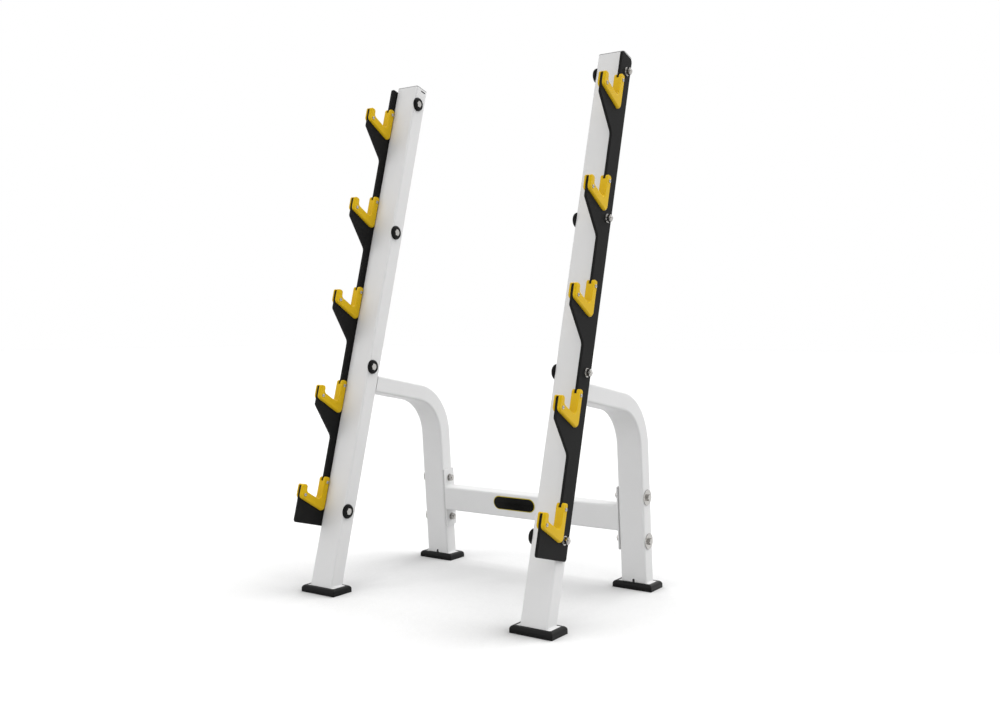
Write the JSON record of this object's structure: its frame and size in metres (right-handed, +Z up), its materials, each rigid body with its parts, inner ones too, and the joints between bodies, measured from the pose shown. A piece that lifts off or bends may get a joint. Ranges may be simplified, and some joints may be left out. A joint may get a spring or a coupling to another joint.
{
  "type": "barbell storage rack",
  "caption": "Free-standing rack with leaning uprights, bent rear legs and lined hooks that store barbells one above another.",
  "frame": {"origin": "on the floor, under the middle of the overall box", "axes": "+X across the rack to its right side, +Y to its back, +Z up"},
  "size_m": [0.847, 0.6722, 1.52],
  "materials": {
    "frame_coat": "light grey powder coat, fine satin",
    "plate_coat": "black powder coat, matt",
    "liner_plastic": "yellow moulded polyurethane, satin",
    "foot_rubber": "black moulded rubber",
    "cap_plastic": "black moulded plastic",
    "zinc_steel": "bright zinc plate"
  },
  "bodies": {
    "root": {"left_upright": "frame_coat", "right_upright": "frame_coat", "left_top_plate": "frame_coat", "right_top_plate": "frame_coat", "left_rear_leg": "frame_coat", "right_rear_leg": "frame_coat", "crossbar": "frame_coat", "left_crossbar_end_plate": "frame_coat", "right_crossbar_end_plate": "frame_coat", "left_hook_plate": "plate_coat", "right_hook_plate": "plate_coat", "left_hook_liner_1": "liner_plastic", "left_hook_liner_2": "liner_plastic", "left_hook_liner_3": "liner_plastic", "left_hook_liner_4": "liner_plastic", "left_hook_liner_5": "liner_plastic", "right_hook_liner_1": "liner_plastic", "right_hook_liner_2": "liner_plastic", "right_hook_liner_3": "liner_plastic", "right_hook_liner_4": "liner_plastic", "right_hook_liner_5": "liner_plastic", "left_liner_screws": "zinc_steel", "right_liner_screws": "zinc_steel", "left_liner_barrel_nuts": "zinc_steel", "right_liner_barrel_nuts": "zinc_steel", "left_hook_bolts": "zinc_steel", "right_hook_bolts": "zinc_steel", "left_hook_cap_washers": "cap_plastic", "right_hook_cap_washers": "cap_plastic", "left_hook_washers": "zinc_steel", "right_hook_washers": "zinc_steel", "left_hook_nuts": "zinc_steel", "right_hook_nuts": "zinc_steel", "left_crossbar_bolts": "zinc_steel", "right_crossbar_bolts": "zinc_steel", "left_crossbar_inner_washers": "zinc_steel", "right_crossbar_inner_washers": "zinc_steel", "left_crossbar_outer_washers": "zinc_steel", "right_crossbar_outer_washers": "zinc_steel", "left_crossbar_nuts": "zinc_steel", "right_crossbar_nuts": "zinc_steel", "front_left_base_plate": "frame_coat", "front_right_base_plate": "frame_coat", "rear_left_base_plate": "frame_coat", "rear_right_base_plate": "frame_coat", "front_left_foot": "foot_rubber", "front_right_foot": "foot_rubber", "rear_left_foot": "foot_rubber", "rear_right_foot": "foot_rubber"}
  },
  "joints": []
}
